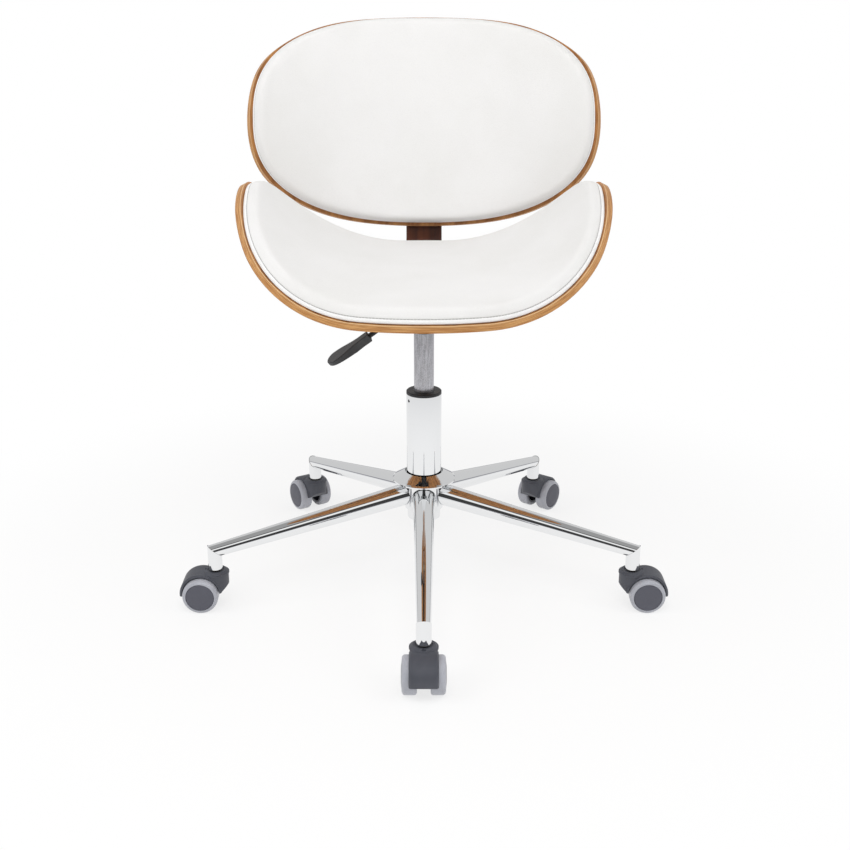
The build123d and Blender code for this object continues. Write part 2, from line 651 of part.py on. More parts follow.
def arm_cone(outward, grow):
    """Tapered body of one arm from the column's axis to past the socket."""
    taper = (ARM_ROOT_DIAMETER - ARM_TIP_DIAMETER) / 2 / (ARM_REACH - SLEEVE_RADIUS)
    tip = arm_tip(outward)
    hub = Vector(0, 0, HUB_Z)
    past = (tip - hub).normalized() * (2 * SOCKET_RADIUS)
    root = ARM_ROOT_DIAMETER / 2 + taper * SLEEVE_RADIUS
    return bar(hub, tip + past, root + grow, ARM_TIP_DIAMETER / 2 - taper * 2 * SOCKET_RADIUS + grow)


def mitre(outward, gap):
    """Half-space on the arm's side of the mitre between an arm and its socket, moved by a gap."""
    tip = arm_tip(outward)
    along_arm = (Vector(0, 0, HUB_Z) - tip).normalized()
    square = (along_arm + Vector(0, 0, 1)).normalized()
    cut = Plane(origin=tip + square * gap, x_dir=square.cross(along_arm), z_dir=square)
    reach = 2 * ARM_REACH
    return cut * Box(reach, reach, reach, align=UPRIGHT)


def base_arm(corner):
    """Tapered tube, mouthed to the hub's sleeve and mitred to the caster socket."""
    outward = arm_frame(corner)
    arm = arm_cone(outward, 0) - arm_cone(outward, -ARM_WALL)
    arm -= rod(SLEEVE_RADIUS + SEAT_FIT, 0, 2 * HUB_Z)
    return arm & mitre(outward, SEAT_FIT)


def base_hub():
    """Welded sleeve with the tapered bore that the column stands in."""
    return turned((column_radius(SLEEVE_BOTTOM) + SEAT_FIT, SLEEVE_BOTTOM), (SLEEVE_RADIUS, SLEEVE_BOTTOM),
                  (SLEEVE_RADIUS, SLEEVE_TOP), (COLUMN_RADIUS + SEAT_FIT, SLEEVE_TOP))


def hub_cover():
    """Pressed cover: a conical cap round the column and a skirt with an arch over each arm."""
    rim_z = HUB_Z + ARM_ROOT_DIAMETER / 2
    rim_top = rim_z + COVER_RIM
    eye_top = rim_top + COVER_CONE_RISE
    skirt_bore = COVER_SKIRT_RADIUS - COVER_WALL
    skirt_z = rim_z - COVER_SKIRT_LENGTH
    eye_z = SLEEVE_TOP + PLAY
    cover = turned((COVER_EYE_RADIUS, eye_z), (COVER_EYE_RADIUS, eye_top),
                   (COVER_RADIUS - COVER_RIM_CHAMFER, rim_top), (COVER_RADIUS, rim_top - COVER_RIM_CHAMFER),
                   (COVER_RADIUS, rim_z), (COVER_SKIRT_RADIUS, rim_z), (COVER_SKIRT_RADIUS, skirt_z),
                   (skirt_bore, skirt_z), (skirt_bore, eye_z))
    for corner in range(ARM_COUNT):
        cover -= arm_cone(arm_frame(corner), COVER_ARCH_ROOM)
    return cover


def caster_socket(corner):
    """Upright socket mitred to an arm's end, with a blind bore for the stem."""
    outward = arm_frame(corner)
    body = rod(SOCKET_RADIUS, SOCKET_Z, ARM_TIP_Z + 2 * SOCKET_RADIUS)
    body -= rod(STEM_TOP_RADIUS + SEAT_FIT, SOCKET_Z, SOCKET_Z + STEM_TOP_LENGTH + PLAY)
    return Pos(*(outward * ARM_REACH)) * body - mitre(outward, 0)


def caster_stem(corner):
    """Steel stem: an upper pin in the socket, a collar and a lower pin that the hood turns on."""
    foot = arm_frame(corner) * ARM_REACH
    collar_z = SOCKET_Z - STEM_COLLAR
    top = SOCKET_Z + STEM_TOP_LENGTH
    ring_top = top - RING_FROM_TOP
    ring_z = ring_top - RING_WIDTH
    groove = STEM_TOP_RADIUS - RING_GROOVE_DEPTH
    bottom = HOOD_TOP - STEM_PIN_DEPTH
    stem = turned((0, bottom), (STEM_PIN_RADIUS, bottom), (STEM_PIN_RADIUS, collar_z),
                  (STEM_COLLAR_RADIUS, collar_z), (STEM_COLLAR_RADIUS, SOCKET_Z), (STEM_TOP_RADIUS, SOCKET_Z),
                  (STEM_TOP_RADIUS, ring_z), (groove, ring_z), (groove, ring_top),
                  (STEM_TOP_RADIUS, ring_top), (STEM_TOP_RADIUS, top), (0, top))
    return Pos(*foot) * stem


def grip_ring(corner):
    """Split ring in the stem's groove that holds it in the socket."""
    foot = arm_frame(corner) * ARM_REACH
    top = SOCKET_Z + STEM_TOP_LENGTH - RING_FROM_TOP - SEAT_FIT
    ring = tube(STEM_TOP_RADIUS, STEM_TOP_RADIUS - RING_GROOVE_DEPTH + SEAT_FIT,
                top - RING_WIDTH + 2 * SEAT_FIT, top)
    ring -= Pos(0, 0, top) * Box(2 * STEM_TOP_RADIUS, RING_SPLIT, 4 * RING_WIDTH,
                                 align=(Align.MIN, Align.CENTER, Align.CENTER))
    return Pos(*foot) * ring


def caster_frame(corner):
    """Place of one caster: on the stem's axis at the floor, with X along its trailing side."""
    foot = arm_frame(corner) * ARM_REACH
    return Pos(*foot) * Rot(Z=CASTER_HEADINGS[corner])


def caster_hood():
    """Hood over both wheels: a fender round the axle, a boss round the stem and a web between."""
    axle = Pos(CASTER_TRAIL, 0, WHEEL_RADIUS)
    half = HOOD_HALF_WIDTH
    edge = HOOD_RADIUS - HOOD_ROUND
    fender = axle * ALONG_Y * turned((0, -half), (edge, -half), (HOOD_RADIUS, HOOD_ROUND - half),
                                     (HOOD_RADIUS, half - HOOD_ROUND), (edge, half), (0, half))
    lip_top = HOOD_TOP - HOOD_BOSS_CHAMFER
    lip = HOOD_BOSS_RADIUS + HOOD_LIP
    hood = fender + turned((0, 0), (HOOD_BOSS_RADIUS, 0), (HOOD_BOSS_RADIUS, lip_top - HOOD_LIP_HEIGHT),
                           (lip, lip_top - HOOD_LIP_HEIGHT), (lip, lip_top), (HOOD_BOSS_RADIUS, lip_top),
                           (HOOD_BOSS_RADIUS - HOOD_BOSS_CHAMFER, HOOD_TOP), (0, HOOD_TOP))
    reach = 4 * HOOD_RADIUS
    below = Box(reach, reach, reach, align=(Align.CENTER, Align.CENTER, Align.MAX))
    hood -= axle * Rot(Y=HOOD_VISOR_DROP) * below
    hood -= Pos(-HOOD_BOSS_RADIUS, 0, WHEEL_RADIUS + HOOD_CHIN_RISE) * Rot(Y=HOOD_CHIN_SLOPE) * below
    web_width = 2 * WEB_HALF
    hood -= axle * ALONG_Y * (Cylinder(WELL_RADIUS, reach) - Cylinder(HOOD_RADIUS, web_width))
    hood += axle * ALONG_Y * Cylinder(HUB_BOSS_RADIUS, web_width)
    hood -= axle * ALONG_Y * Cylinder(AXLE_RADIUS + SEAT_FIT, reach)
    hood -= rod(HOOD_DISH_RADIUS, HOOD_TOP - HOOD_DISH_DEPTH, HOOD_TOP)
    hood -= Pos(HOOD_RECESS_TRAIL, 0, 0) * rod(HOOD_RECESS_RADIUS, HOOD_TOP - HOOD_RECESS_DEPTH, HOOD_TOP)
    return hood - rod(STEM_PIN_RADIUS + RUNNING_FIT, HOOD_TOP - STEM_PIN_DEPTH - PLAY, HOOD_TOP)


def caster_axle():
    """Plain steel pin through the hood's web and both hubs."""
    half = WHEEL_OUTER_FACE - AXLE_END_COVER
    return Pos(CASTER_TRAIL, 0, WHEEL_RADIUS) * ALONG_Y * Cylinder(AXLE_RADIUS, 2 * half)


def wheel_hub(side):
    """Wheel centre: a boss on the axle, a dished cap outside and a rim for the tyre."""
    rim = WHEEL_RADIUS - TYRE_THICKNESS - SEAT_FIT
    rim_bore = rim - HUB_RIM
    bore = AXLE_RADIUS + RUNNING_FIT
    cover = WHEEL_OUTER_FACE - AXLE_END_COVER + PLAY
    web = WHEEL_OUTER_FACE - HUB_WEB
    boss = WEB_HALF + PLAY
    crown = WHEEL_OUTER_FACE + WHEEL_CAP_CROWN
    hub = turned((0, cover), (0, crown), (WHEEL_CAP_FLAT, crown), (rim - HUB_EDGE, WHEEL_OUTER_FACE),
                 (rim, WHEEL_OUTER_FACE - HUB_EDGE), (rim, WHEEL_INNER_FACE), (rim_bore, WHEEL_INNER_FACE),
                 (rim_bore, web), (HUB_BOSS_RADIUS, web), (HUB_BOSS_RADIUS, boss), (bore, boss),
                 (bore, cover))
    return place_wheel(hub, side)


def tyre(side):
    """Soft ring of a wheel, rounded towards the floor."""
    inner = WHEEL_RADIUS - TYRE_THICKNESS
    low, high = WHEEL_INNER_FACE, WHEEL_OUTER_FACE
    section = make_face([
        Line((inner, low), (WHEEL_RADIUS - TYRE_ROUND, low)),
        RadiusArc((WHEEL_RADIUS - TYRE_ROUND, low), (WHEEL_RADIUS, low + TYRE_ROUND), -TYRE_ROUND),
        Line((WHEEL_RADIUS, low + TYRE_ROUND), (WHEEL_RADIUS, high - TYRE_SHOULDER)),
        RadiusArc((WHEEL_RADIUS, high - TYRE_SHOULDER), (WHEEL_RADIUS - TYRE_SHOULDER, high), -TYRE_SHOULDER),
        Line((WHEEL_RADIUS - TYRE_SHOULDER, high), (inner, high)),
        Line((inner, high), (inner, low)),
    ])
    return place_wheel(revolve(Plane.XZ * section, Axis.Z), side)


def place_wheel(shape, side):
    """Turn a piece from the Z axis onto the axle, on one side of the hood."""
    flip = Rot(X=-90) if side > 0 else Rot(X=90)
    return Pos(CASTER_TRAIL, 0, WHEEL_RADIUS) * flip * shape


def chair():
    """All pieces of the chair by name."""
    corners = range(ARM_COUNT)
    under_seat, behind_back = spine_screw_places()
    pieces = {
        "base_hub": base_hub(),
        "hub_cover": hub_cover(),
        "caster_sockets": Compound([caster_socket(corner).solid() for corner in corners]),
        "caster_stems": Compound([caster_stem(corner).solid() for corner in corners]),
        "stem_grip_rings": Compound([grip_ring(corner).solid() for corner in corners]),
        "column_tube": column_tube(),
        "column_bush": column_bush(),
        "bearing_lower_washer": tube(WASHER_RADIUS, NECK_RADIUS + RUNNING_FIT, WASHER_Z,
                                     WASHER_Z + WASHER_THICKNESS),
        "bearing_balls": ball_cage(),
        "bearing_upper_washer": tube(WASHER_RADIUS, NECK_RADIUS + SEAT_FIT, UPPER_WASHER_Z, SHOULDER_Z),
        "piston_rod": piston_rod(),
        "rod_clip": rod_clip(),
        "rod_buffer": tube(BUFFER_RADIUS, ROD_RADIUS + SEAT_FIT, BUFFER_Z, BUFFER_Z + BUFFER_HEIGHT),
        "gas_cylinder": gas_cylinder(),
        "valve_button": rod(VALVE_RADIUS, CYLINDER_TOP - VALVE_INSIDE, VALVE_TOP),
        "lever_rod": lever_rod(),
        "lever_grip": lever_grip(),
        "seat_plate": seat_plate(),
        "plate_bolts": Compound([(place * seat_bolt()).solid() for place in seat_bolt_places()]),
        "seat_shell": seat_shell(),
        "seat_pad": padded(seat_layer, seat_height, SEAT_PAD, SEAT_PAD_INSET),
        "spine": spine(),
        "spine_screws": Compound([(place * spine_screw()).solid() for place in under_seat + behind_back]),
        "back_shell": back_shell(),
        "back_pad": back_plane() * padded(back_layer, back_height, BACK_PAD, BACK_PAD_INSET),
    }
    hood, axle = caster_hood(), caster_axle()
    wheels = {"left": 1, "right": -1}
    for corner, name in enumerate(CORNERS):
        frame = caster_frame(corner)
        pieces[f"base_arm_{name}"] = base_arm(corner)
        pieces[f"{name}_caster_hood"] = frame * hood
        pieces[f"{name}_caster_axle"] = frame * axle
        for side, sign in wheels.items():
            pieces[f"{name}_caster_{side}_hub"] = frame * wheel_hub(sign)
            pieces[f"{name}_caster_{side}_tyre"] = frame * tyre(sign)
    return pieces


os.makedirs("parts", exist_ok=True)
for piece_name, piece in chair().items():
    export_step(piece, f"parts/{piece_name}.step")
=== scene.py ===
# %% [markdown]
# # A winged plywood office chair
# The chair was first drawn as solids: two bent plywood shells, a bentwood spine, a gas lift and a
# five-arm base on casters. Those solids arrive here as a fixed frame. They stay where they are, and
# this lesson gives each of them its finish and sews the two pads that lie on the plywood.

# %% Load the frame
from math import asin, copysign, cos, pi, radians, sin

import bpy
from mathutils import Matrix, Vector


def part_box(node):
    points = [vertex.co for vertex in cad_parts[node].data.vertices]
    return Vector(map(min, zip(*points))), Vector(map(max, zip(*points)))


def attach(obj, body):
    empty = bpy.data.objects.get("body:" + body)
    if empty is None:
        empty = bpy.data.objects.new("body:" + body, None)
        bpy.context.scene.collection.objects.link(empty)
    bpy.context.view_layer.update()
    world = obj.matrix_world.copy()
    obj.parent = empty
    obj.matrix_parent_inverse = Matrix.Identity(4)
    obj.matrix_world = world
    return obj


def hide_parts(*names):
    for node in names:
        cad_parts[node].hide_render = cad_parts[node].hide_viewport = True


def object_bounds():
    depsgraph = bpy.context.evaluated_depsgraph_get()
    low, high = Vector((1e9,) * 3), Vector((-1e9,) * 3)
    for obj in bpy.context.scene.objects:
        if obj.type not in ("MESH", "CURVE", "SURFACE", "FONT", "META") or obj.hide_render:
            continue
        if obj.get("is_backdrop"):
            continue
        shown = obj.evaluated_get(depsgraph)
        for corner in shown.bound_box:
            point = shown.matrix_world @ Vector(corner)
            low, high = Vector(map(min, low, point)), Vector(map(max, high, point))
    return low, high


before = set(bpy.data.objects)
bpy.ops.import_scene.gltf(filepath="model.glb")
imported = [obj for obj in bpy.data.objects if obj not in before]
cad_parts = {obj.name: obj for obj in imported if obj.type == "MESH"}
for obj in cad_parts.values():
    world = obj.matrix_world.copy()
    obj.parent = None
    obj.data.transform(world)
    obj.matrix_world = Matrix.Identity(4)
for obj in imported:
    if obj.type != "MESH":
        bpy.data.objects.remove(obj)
cad_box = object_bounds()
print("nodes:", len(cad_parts), "box:", [[round(value, 3) for value in corner] for corner in cad_box])

# %% [markdown]
# ## The camera
# A product photographer stood straight in front of the chair, a little above the back's top edge. A
# camera can be aimed with a constraint, but a plain position and pitch are easier to read and to match
# with a photograph. The focal length comes from the picture itself: so many pixels for one metre
# of width at one metre of distance.

# %% Camera
PHOTO_PIXELS = 850
FOCAL_PIXELS = 1253.6
SENSOR_MM = 36.0
CAMERA_PLACE = (0.0015, -1.692, 0.833)
CAMERA_PITCH = 19.38

camera = bpy.data.objects.new("photo_camera", bpy.data.cameras.new("photo_camera"))
bpy.context.scene.collection.objects.link(camera)
camera.location = CAMERA_PLACE
camera.rotation_euler = (radians(90 - CAMERA_PITCH), 0, 0)
camera.data.sensor_width = SENSOR_MM
camera.data.lens = SENSOR_MM * FOCAL_PIXELS / PHOTO_PIXELS
bpy.context.scene.camera = camera
bpy.context.scene.view_settings.view_transform = "Standard"
print("lens:", round(camera.data.lens, 1), "mm")

# %% [markdown]
# ## Shader maths as plain expressions
# A finish is a net of nodes, and nets are hard to read in code. So one small class stands for a
# socket and takes Python's own operators: every + or * on it adds a Math node. A second class keeps a
# material with its Principled shader, and makes any other node by its type.

# %% Sockets with operators
class Value:
    """One number that varies over a surface: a socket of a finish."""

    def __init__(self, finish, socket):
        self.finish = finish
        self.socket = socket

    def maths(self, operation, *others):
        return self.finish.node("ShaderNodeMath", {"operation": operation},
                                dict(enumerate((self, *others))))

    def __add__(self, other):
        return self.maths("ADD", other)

    def __sub__(self, other):
        return self.maths("SUBTRACT", other)

    def __mul__(self, other):
        return self.maths("MULTIPLY", other)

    def __truediv__(self, other):
        return self.maths("DIVIDE", other)

    def __rsub__(self, other):
        return self * -1 + other

    def __abs__(self):
        return self.maths("ABSOLUTE")

    __radd__ = __add__
    __rmul__ = __mul__

    def at_least(self, other):
        return self.maths("MAXIMUM", other)

    def root(self):
        return self.maths("SQRT")

    def share_of(self, pitch):
        """Sawtooth from 0 to 1 that starts again at every pitch."""
        return (self / pitch).maths("FRACT")

    def rise(self, low, high):
        """Smooth step from 0 at low to 1 at high."""
        return self.finish.node("ShaderNodeMapRange", {"interpolation_type": "SMOOTHSTEP"},
                                {"Value": self, "From Min": low, "From Max": high})


class Finish:
    """A material with one Principled shader and the nodes that feed it."""

    def __init__(self, name):
        self.material = bpy.data.materials.new(name)
        self.material.use_nodes = True
        self.tree = self.material.node_tree
        self.shader = self.tree.nodes["Principled BSDF"]

    def fill(self, node, inputs):
        for key, value in inputs.items():
            if isinstance(value, Value):
                self.tree.links.new(value.socket, node.inputs[key])
            else:
                node.inputs[key].default_value = value

    def node(self, kind, settings, inputs, output=0):
        made = self.tree.nodes.new(kind)
        for key, value in settings.items():
            setattr(made, key, value)
        self.fill(made, inputs)
        return Value(self, made.outputs[output])

    def place(self, axis):
        """One coordinate of the surface in the chair's frame, in metres."""
        place = self.node("ShaderNodeTexCoord", {}, {}, "Object")
        return self.node("ShaderNodeSeparateXYZ", {}, {"Vector": place}, axis)

    def stretched(self, scale):
        """The chair's coordinates, stretched for a texture that runs one way."""
        place = self.node("ShaderNodeTexCoord", {}, {}, "Object")
        return self.node("ShaderNodeMapping", {}, {"Vector": place, "Scale": scale})

    def noise(self, scale, detail=3.0, vector=None):
        vector = vector or self.stretched((1, 1, 1))
        return self.node("ShaderNodeTexNoise", {}, {"Vector": vector, "Scale": scale, "Detail": detail})

    def mix(self, factor, first, second):
        return self.node("ShaderNodeMix", {"data_type": "RGBA"}, {0: factor, 6: first, 7: second}, 2)

    def vector(self, operation, first, second=(0, 0, 0)):
        return self.node("ShaderNodeVectorMath", {"operation": operation}, {0: first, 1: second})

    def bump(self, height, distance):
        return self.node("ShaderNodeBump", {}, {"Height": height, "Distance": distance})

    def shade(self, **inputs):
        self.fill(self.shader, {key.replace("_", " "): value for key, value in inputs.items()})
        return self


def rgb(red, green, blue):
    """Linear colour from the 0 to 255 values that a picture shows."""
    def linear(value):
        value /= 255
        return value / 12.92 if value <= 0.04045 else ((value + 0.055) / 1.055) ** 2.4
    return (linear(red), linear(green), linear(blue), 1.0)


def dress(finish, *nodes):
    """Give CAD nodes a finish."""
    for name in nodes:
        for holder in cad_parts[name].material_slots:
            holder.material = finish.material
    print(finish.material.name, "on", len(nodes), "nodes")


print("shader helpers ready")

# %% [markdown]
# ## Floor and light
# The picture has a pure white ground and very soft light. In a studio the chair would stand on a white
# sweep of paper that is lit until it burns out. Here the floor is paper too, but for the rays that
# come from the camera or from a mirror some of its shading is replaced by plain white. Near the chair
# enough shading is left for a soft shadow. Chrome needs more than white to mirror: behind the camera
# stands a dark wall with a band of windows, behind the chair a light wall, and above them a grey
# ceiling, and the paper dims with distance. Only mirrored rays see that room. They don't see the lamps,
# whose small hard reflections would break up on the thin arms.

# %% Floor, world and lamps
FLOOR_REACH = 12.0
FLOOR_WHITE = 0.76
FLOOR_DUSK = (0.3, 0.3, 0.33, 1)
SHADOW_FADE = (0.45, 0.95)
DUSK_FADE = (0.5, 1.8)
BACK_WALL = 0.68
FRONT_WALL = 0.05
WINDOW = 0.95
CEILING = 0.36
WALL_TURN = (-0.45, 0.25)
WINDOW_SILL = (0.45, 0.52)
WINDOW_HEAD = (0.7, 0.78)
CEILING_EDGE = (0.78, 0.9)
SKY_LIGHT = 0.62


def make_floor():
    mesh = bpy.data.meshes.new("floor")
    corners = [(-FLOOR_REACH, -FLOOR_REACH, 0), (FLOOR_REACH, -FLOOR_REACH, 0),
               (FLOOR_REACH, FLOOR_REACH, 0), (-FLOOR_REACH, FLOOR_REACH, 0)]
    mesh.from_pydata(corners, [], [(0, 1, 2, 3)])
    floor = bpy.data.objects.new("floor", mesh)
    bpy.context.scene.collection.objects.link(floor)
    mesh.materials.append(white_paper().material)
    floor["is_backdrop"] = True


def white_paper():
    paper = Finish("white_paper")
    paper.shade(Base_Color=rgb(250, 250, 250), Roughness=0.9)
    x, y = paper.place("X"), paper.place("Y")
    away = (x * x + y * y).root()
    seen = [paper.node("ShaderNodeLightPath", {}, {}, kind + " Ray")
            for kind in ("Is Camera", "Is Glossy", "Is Transmission")]
    plain = away.rise(*SHADOW_FADE) * (1 - FLOOR_WHITE) + FLOOR_WHITE
    bare = seen[0].at_least(seen[1]).at_least(seen[2]) * plain
    glow = paper.mix(seen[1] * away.rise(*DUSK_FADE), (1, 1, 1, 1), FLOOR_DUSK)
    white = paper.node("ShaderNodeEmission", {}, {"Color": glow})
    shaded = Value(paper, paper.shader.outputs[0])
    mixed = paper.node("ShaderNodeMixShader", {}, {0: bare, 1: shaded, 2: white})
    paper.fill(paper.tree.nodes["Material Output"], {"Surface": mixed})
    return paper


class WorldNet(Finish):
    """The world's own node tree, used like a finish."""

    def __init__(self):
        world = bpy.data.worlds.new("studio")
        bpy.context.scene.world = world
        world.use_nodes = True
        self.tree = world.node_tree
        self.shader = self.tree.nodes["Background"]


def make_world():
    world = WorldNet()
    direction = world.node("ShaderNodeTexCoord", {}, {}, "Generated")
    back, up = (world.node("ShaderNodeSeparateXYZ", {}, {"Vector": direction}, axis) for axis in "YZ")
    front = 1 - back.rise(*WALL_TURN)
    window = up.rise(*WINDOW_SILL) * (1 - up.rise(*WINDOW_HEAD))
    wall = BACK_WALL + front * (window * WINDOW + FRONT_WALL - BACK_WALL)
    room = wall + up.rise(*CEILING_EDGE) * (CEILING - wall)
    mirrored = world.node("ShaderNodeLightPath", {}, {}, "Is Glossy Ray")
    seen = world.node("ShaderNodeLightPath", {}, {}, "Is Camera Ray")
    strength = mirrored * room + seen + (1 - mirrored.at_least(seen)) * SKY_LIGHT
    world.shade(Color=(1, 1, 1, 1), Strength=strength)


def soft_lamp(name, place, aim, size, watts):
    lamp = bpy.data.objects.new(name, bpy.data.lights.new(name, "AREA"))
    bpy.context.scene.collection.objects.link(lamp)
    lamp.location = place
    lamp.rotation_euler = (Vector(aim) - Vector(place)).to_track_quat("-Z", "Y").to_euler()
    lamp.data.size = size
    lamp.data.energy = watts
    lamp.visible_glossy = False


make_floor()
make_world()
soft_lamp("front_lamp", (0, -1.5, 2.5), (0, 0, 0.5), 1.4, 22)
soft_lamp("left_lamp", (-1.9, -0.8, 1.8), (0, 0, 0.4), 1.2, 12)
soft_lamp("right_lamp", (1.9, -0.8, 1.8), (0, 0, 0.4), 1.2, 9)

# %% [markdown]
# ## How the shells are bent
# The plywood seat is flat in the middle and turns up into two wings; the back is part of a drum. Both
# the wood's layers and the pads follow that bend, so the bend is written down once: how high a point
# lies above the outside of the plywood, and where a point of the flat-cut blank ends up.

# %% The bend of the seat and of the back
PLY = 0.0095
SEAT_WIDEST_Y = 0.026
SEAT_FLAT = 0.045
SEAT_FLAT_TAPER = 0.123
SEAT_WING_SLOPE = 61.5
SEAT_BEND_TAPER = 0.17
SEAT_FULLNESS = (2.1, 2.0)
BACK_BEND = 0.501
BACK_LEAN = 14.0
BACK_SETBACK = 0.250
BACK_RAISE = 0.1838
BACK_FULLNESS = (2.54, 2.54)
BACK_REACH = (0.1466, 0.1618)

seat_low, seat_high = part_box("seat_shell")
SEAT_Z = seat_low.z
SEAT_HALF_WIDTH = 0.254
SEAT_REACH = (SEAT_WIDEST_Y - seat_low.y, seat_high.y - SEAT_WIDEST_Y)
SEAT_BEND = (SEAT_HALF_WIDTH - SEAT_FLAT) / sin(radians(SEAT_WING_SLOPE))
BACK_HALF_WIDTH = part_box("back_shell")[1].x
BACK_Z = SEAT_Z + BACK_RAISE


def seat_bend(y):
    """Half-width of the flat middle and bend radius of the wings at a depth y."""
    forward = SEAT_WIDEST_Y - y
    return SEAT_FLAT + SEAT_FLAT_TAPER * forward, SEAT_BEND + SEAT_BEND_TAPER * forward


def seat_point(across, y, height):
    """Point of the seat: how far across the flat blank, how far back, how high above the outside."""
    flat, bend = seat_bend(y)
    lean = max(0, abs(across) - flat) / bend
    x = min(abs(across), flat) + (bend - height) * sin(lean)
    return Vector((copysign(x, across), y, SEAT_Z + bend - (bend - height) * cos(lean)))


def seat_across(x, y):
    """How far across the flat blank a point of the seat's plan lies."""
    flat, bend = seat_bend(y)
    if abs(x) <= flat:
        return x
    return copysign(flat + bend * asin((abs(x) - flat) / bend), x)


BACK_UP = Vector((0, sin(radians(BACK_LEAN)), cos(radians(BACK_LEAN))))
BACK_FORE = Vector((0, -cos(radians(BACK_LEAN)), sin(radians(BACK_LEAN))))


def back_point(across, up, height):
    """Point of the back: how far across the flat blank, how far up, how far in front of its rear."""
    lean = across / BACK_BEND
    middle = Vector((0, BACK_SETBACK, BACK_Z)) + BACK_UP * up
    side = Vector((1, 0, 0)) * (BACK_BEND - height) * sin(lean)
    return middle + side + BACK_FORE * (BACK_BEND - (BACK_BEND - height) * cos(lean))


def back_across(x, up):
    """How far across the flat blank a point of the back's outline lies."""
    return BACK_BEND * asin(x / BACK_BEND)


wing_tip = seat_point(seat_across(SEAT_HALF_WIDTH, SEAT_WIDEST_Y), SEAT_WIDEST_Y, 0)
print("wing tip of the seat:", [round(value, 3) for value in wing_tip])

# %% [markdown]
# ## Bent plywood
# Real bent plywood is a stack of thin veneers glued in a mould. The broad faces show one caramel
# veneer with its figure and fibres, and the cut edge shows the stack: streaked plies with dark lines of
# glue between them and a painted highlight along the top ply, where light catches the rounded edge. An
# image could be wrapped round the rim, but the height above the outside face is all that the plies
# need, and the shader works that out from the bend.

# %% Plywood of the shells
VENEER = 0.0008
PLY_COUNT = 6
TOP_PLY = PLY * (PLY_COUNT - 1) / PLY_COUNT
PLY_BLEND = 0.0003
GLUE_BAND = (0.33, 0.48)
EDGE_STREAKS = 900.0
EDGE_DRIFT = 30
SEAT_GRAIN = (1, 0.18, 1)
BACK_GRAIN = (1, 1, 0.18)
SPINE_GRAIN = (70, 7, 7)
FIGURE = {"Scale": 8.0, "Distortion": 11.0, "Detail": 2.5, "Detail Scale": 0.6}
FIBRES = 160
PORES = 1100.0
veneer_dark = rgb(140, 88, 42)
veneer_light = rgb(190, 132, 72)
core_dark = rgb(168, 108, 50)
core_light = rgb(226, 174, 110)
top_edge_highlight = rgb(240, 202, 150)
glue = rgb(122, 72, 30)
# painted shade: both browns of the spine are darker than its wood, for the shade it stands in
shaded_walnut_dark = rgb(56, 24, 9)
shaded_walnut_light = rgb(94, 46, 20)


def plywood(name, height_of, grain):
    """Plywood whose height above the outside face is worked out by height_of(finish)."""
    wood = Finish(name)
    height = height_of(wood)
    x, y, z = (wood.place(axis) for axis in "XYZ")
    along_edge = wood.node("ShaderNodeCombineXYZ", {}, {
        "X": x * EDGE_DRIFT, "Y": y * EDGE_DRIFT + z * EDGE_DRIFT, "Z": height * EDGE_STREAKS})
    streaks = wood.noise(1.0, 3.0, along_edge).rise(0.3, 0.7)
    figure = wood.node("ShaderNodeTexWave", {"bands_direction": "X"},
                       {"Vector": wood.stretched(grain), **FIGURE}, 1)
    fibres = wood.noise(FIBRES, 4.0, wood.stretched(grain)).rise(0.3, 0.7)
    pores = wood.noise(PORES, 2.0)
    face = wood.mix(figure * 0.45 + fibres * 0.5, veneer_dark, veneer_light)
    edge = wood.mix(streaks * 0.8 + pores * 0.3 - 0.05, core_dark, core_light)
    # painted highlight: the top ply of the cut edge is made lighter where light catches the rounded edge
    edge = wood.mix(height.rise(TOP_PLY - PLY_BLEND, TOP_PLY + PLY_BLEND), edge, top_edge_highlight)
    glue_lines = abs(height.share_of(PLY / PLY_COUNT) - 0.5).rise(*GLUE_BAND)
    edge = wood.mix(glue_lines * 0.8, edge, glue)
    inside = height.rise(VENEER * 0.4, VENEER) * (1 - height.rise(PLY - VENEER, PLY - VENEER * 0.4))
    relief = wood.bump(pores * 0.5 + streaks * inside * 0.5, 0.00015)
    wood.shade(Base_Color=wood.mix(inside, face, edge), Roughness=0.4 + pores * 0.16,
               Normal=relief, Coat_Weight=0.15, Coat_Roughness=0.25)
    return wood


def shaded_walnut(name):
    """Dark wood of the spine, made darker still with painted shade, with its grain up the strap."""
    wood = Finish(name)
    grain = wood.noise(1.0, 6.0, wood.stretched(SPINE_GRAIN)).rise(0.35, 0.68)
    pores = wood.noise(PORES, 2.0)
    wood.shade(Base_Color=wood.mix(grain, shaded_walnut_dark, shaded_walnut_light), Roughness=0.34 + pores * 0.16,
               Normal=wood.bump(pores, 0.0001), Coat_Weight=0.2, Coat_Roughness=0.2)
    return wood


def seat_height(wood):
    x, y, z = (wood.place(axis) for axis in "XYZ")
    forward = SEAT_WIDEST_Y - y
    flat = forward * SEAT_FLAT_TAPER + SEAT_FLAT
    bend = forward * SEAT_BEND_TAPER + SEAT_BEND
    aside = (abs(x) - flat).at_least(0)
    above = SEAT_Z + bend - z
    return bend - (aside * aside + above * above).root()


def back_height(wood):
    x, y, z = (wood.place(axis) for axis in "XYZ")
    fore = (y - BACK_SETBACK) * BACK_FORE.y + (z - BACK_Z) * BACK_FORE.z
    above = BACK_BEND - fore
    return BACK_BEND - (x * x + above * above).root()


dress(plywood("seat_plywood", seat_height, SEAT_GRAIN), "seat_shell")
dress(plywood("back_plywood", back_height, BACK_GRAIN), "back_shell")
dress(shaded_walnut("spine_shaded_walnut"), "spine")

# %% [markdown]
# ## Chrome and steel
# Chrome plate is a nearly perfect mirror, so its look is what stands around it: the white
# floor, the dim room and the brown underside of the seat. A mirror also shows every facet of a mesh.
# More facets would help, but the true normal of a round bar is easy to work out: it points away from
# the bar's axis. The gas spring is duller, grey and slightly streaked.

